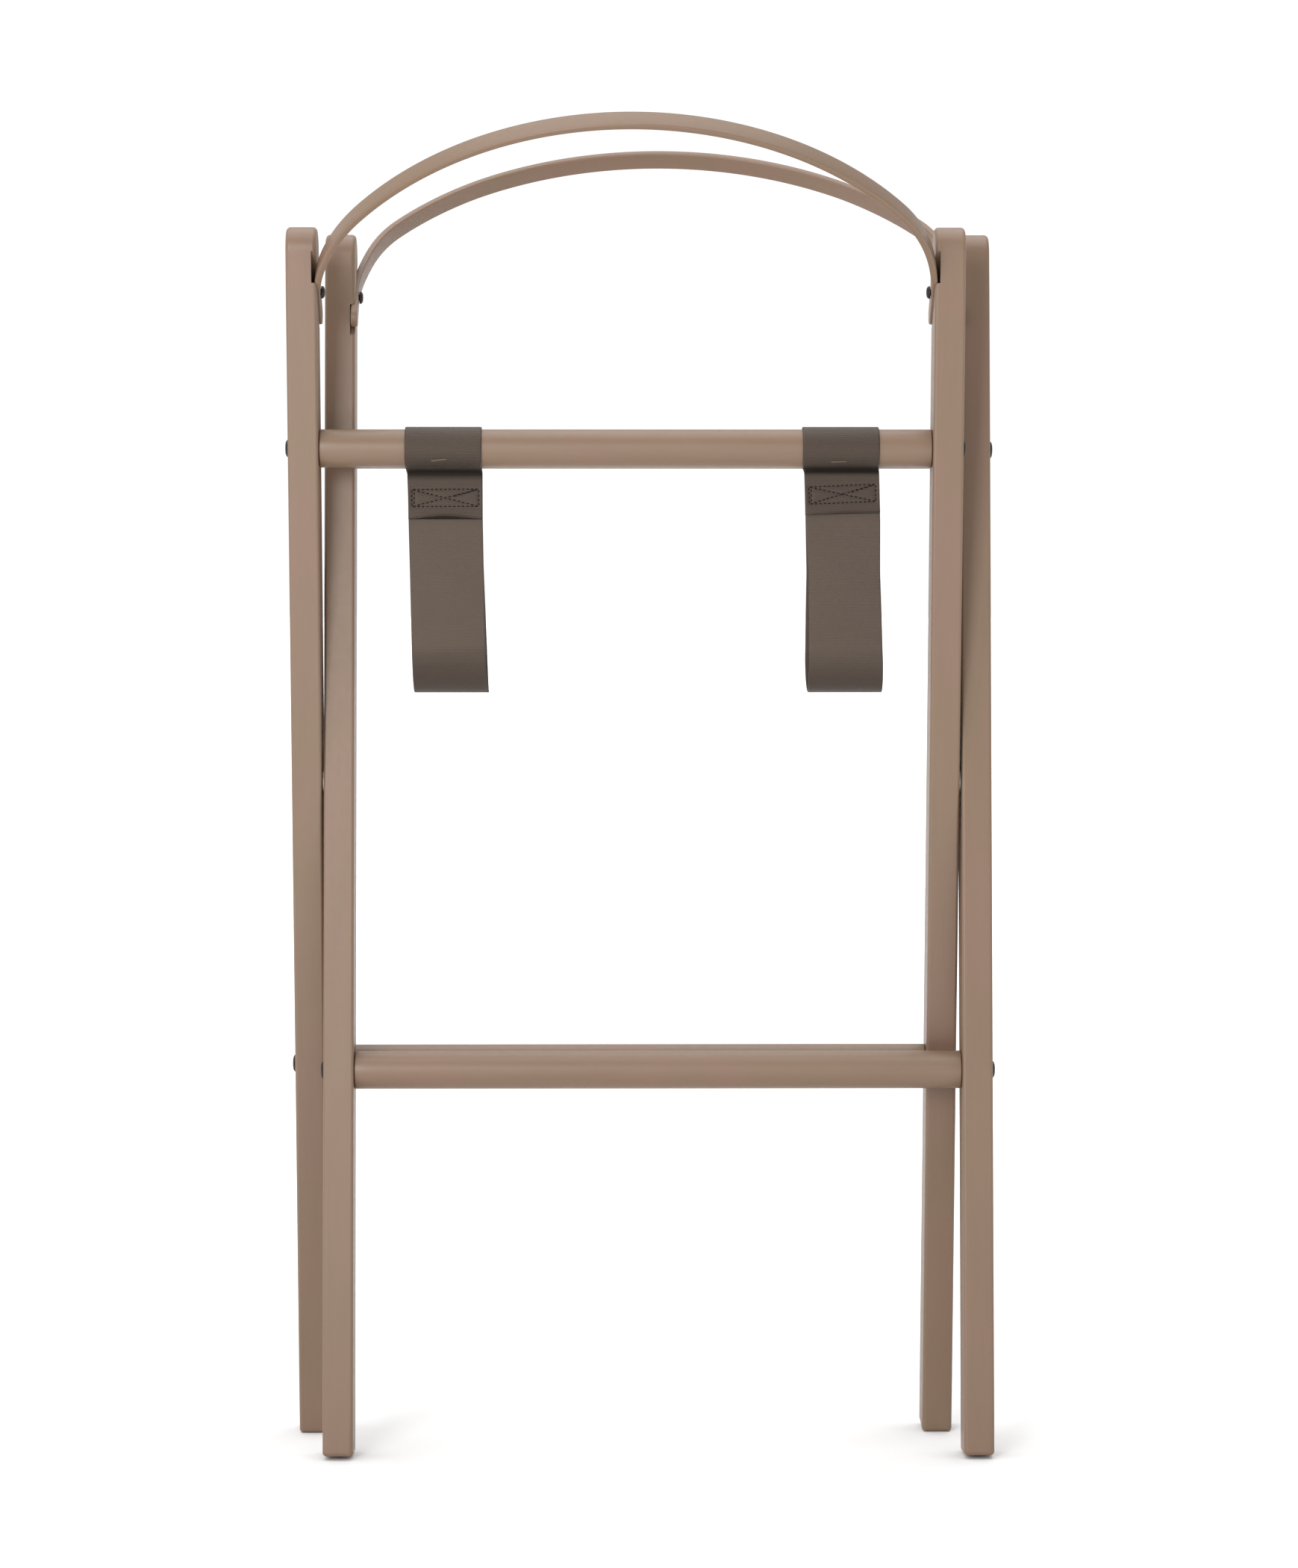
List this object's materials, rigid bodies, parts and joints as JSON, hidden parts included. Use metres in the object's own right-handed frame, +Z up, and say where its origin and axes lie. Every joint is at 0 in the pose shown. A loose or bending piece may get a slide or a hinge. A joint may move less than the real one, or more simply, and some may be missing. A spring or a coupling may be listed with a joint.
{
  "type": "folding luggage rack",
  "caption": "Wooden X-frame folding rack: two crossed frames with round bars, bent arches over the leg tops and webbing straps that hang between the upper bars.",
  "frame": {"origin": "on the floor, midway between the four feet and straight below the pivot axis", "axes": "+Z up, +X to the right along the bars, +Y from the front of the rack to its back"},
  "size_m": [0.467, 0.291, 0.8697],
  "materials": {
    "lacquered_wood": "satin taupe lacquer",
    "webbing": "ribbed taupe webbing",
    "dark_steel": "dark bronze oxide",
    "zinc_steel": "zinc plated",
    "bronze_wire": "bronzed steel wire"
  },
  "bodies": {
    "front_frame": {"front_leg_outer": "lacquered_wood", "front_leg_inner": "lacquered_wood", "front_upper_bar": "lacquered_wood", "front_lower_bar": "lacquered_wood", "front_arch": "lacquered_wood", "front_upper_bolt_outer": "dark_steel", "front_upper_bolt_inner": "dark_steel", "front_upper_insert_outer": "zinc_steel", "front_upper_insert_inner": "zinc_steel", "front_lower_bolt_outer": "dark_steel", "front_lower_bolt_inner": "dark_steel", "front_lower_insert_outer": "zinc_steel", "front_lower_insert_inner": "zinc_steel", "front_arch_screw_outer": "dark_steel", "front_arch_screw_inner": "dark_steel", "pivot_pin_left": "zinc_steel", "pivot_washer_left": "zinc_steel", "staple_left_front": "bronze_wire", "staple_right_front": "bronze_wire"},
    "back_frame": {"back_leg_outer": "lacquered_wood", "back_leg_inner": "lacquered_wood", "back_upper_bar": "lacquered_wood", "back_lower_bar": "lacquered_wood", "back_arch": "lacquered_wood", "back_upper_bolt_outer": "dark_steel", "back_upper_bolt_inner": "dark_steel", "back_upper_insert_outer": "zinc_steel", "back_upper_insert_inner": "zinc_steel", "back_lower_bolt_outer": "dark_steel", "back_lower_bolt_inner": "dark_steel", "back_lower_insert_outer": "zinc_steel", "back_lower_insert_inner": "zinc_steel", "back_arch_screw_outer": "dark_steel", "back_arch_screw_inner": "dark_steel", "pivot_pin_right": "zinc_steel", "pivot_washer_right": "zinc_steel", "staple_left_back": "bronze_wire", "staple_right_back": "bronze_wire"},
    "front_webbing": {"strap_left_front": "webbing", "strap_right_front": "webbing"},
    "front_webbing_upper_bend": {"strap_left_front_bend_upper": "webbing", "strap_right_front_bend_upper": "webbing"},
    "front_webbing_lower_bend": {"strap_left_front_bend_lower": "webbing", "strap_right_front_bend_lower": "webbing"},
    "back_webbing": {"strap_left_back": "webbing", "strap_right_back": "webbing"},
    "back_webbing_upper_bend": {"strap_left_back_bend_upper": "webbing", "strap_right_back_bend_upper": "webbing"},
    "back_webbing_lower_bend": {"strap_left_back_bend_lower": "webbing", "strap_right_back_bend_lower": "webbing"}
  },
  "joints": [
    {"name": "fold", "type": "hinge", "parent": "front_frame", "child": "back_frame", "pos_m": [0, 0, 0.44304], "axis": [-1, 0, 0], "range_deg": [-3, 91.3]},
    {"name": "front_strap_swing", "type": "hinge", "parent": "front_frame", "child": "front_webbing", "pos_m": [0, -0.02169, 0.66227], "axis": [1, 0, 0], "range_deg": [-1.6, 44.5], "deforming": ["strap_left_front", "strap_right_front"]},
    {"name": "front_strap_upper_bend", "type": "hinge", "parent": "front_webbing", "child": "front_webbing_upper_bend", "pos_m": [0, -0.0199, 0.51502], "axis": [-1, 0, 0], "range_deg": [-1.6, 45.1], "deforming": ["strap_left_front_bend_upper", "strap_right_front_bend_upper"]},
    {"name": "front_strap_lower_bend", "type": "hinge", "parent": "front_webbing_upper_bend", "child": "front_webbing_lower_bend", "pos_m": [0, -0.00824, 0.50336], "axis": [-1, 0, 0], "range_deg": [-1.6, 45.1], "deforming": ["strap_left_front_bend_lower", "strap_right_front_bend_lower"]},
    {"name": "back_strap_swing", "type": "hinge", "parent": "back_frame", "child": "back_webbing", "pos_m": [0, 0.02169, 0.66227], "axis": [-1, 0, 0], "range_deg": [-1.6, 44.5], "deforming": ["strap_left_back", "strap_right_back"]},
    {"name": "back_strap_upper_bend", "type": "hinge", "parent": "back_webbing", "child": "back_webbing_upper_bend", "pos_m": [0, 0.0199, 0.51502], "axis": [1, 0, 0], "range_deg": [-1.6, 45.1], "deforming": ["strap_left_back_bend_upper", "strap_right_back_bend_upper"]},
    {"name": "back_strap_lower_bend", "type": "hinge", "parent": "back_webbing_upper_bend", "child": "back_webbing_lower_bend", "pos_m": [0, 0.00824, 0.50336], "axis": [1, 0, 0], "range_deg": [-1.6, 45.1], "deforming": ["strap_left_back_bend_lower", "strap_right_back_bend_lower"]}
  ],
  "couplings": [
    {"joint": "front_strap_swing", "follows": "fold", "ratio": 0.4853},
    {"joint": "front_strap_upper_bend", "follows": "fold", "ratio": 0.4926},
    {"joint": "front_strap_lower_bend", "follows": "fold", "ratio": 0.4926},
    {"joint": "back_strap_swing", "follows": "fold", "ratio": 0.4853},
    {"joint": "back_strap_upper_bend", "follows": "fold", "ratio": 0.4926},
    {"joint": "back_strap_lower_bend", "follows": "fold", "ratio": 0.4926}
  ]
}
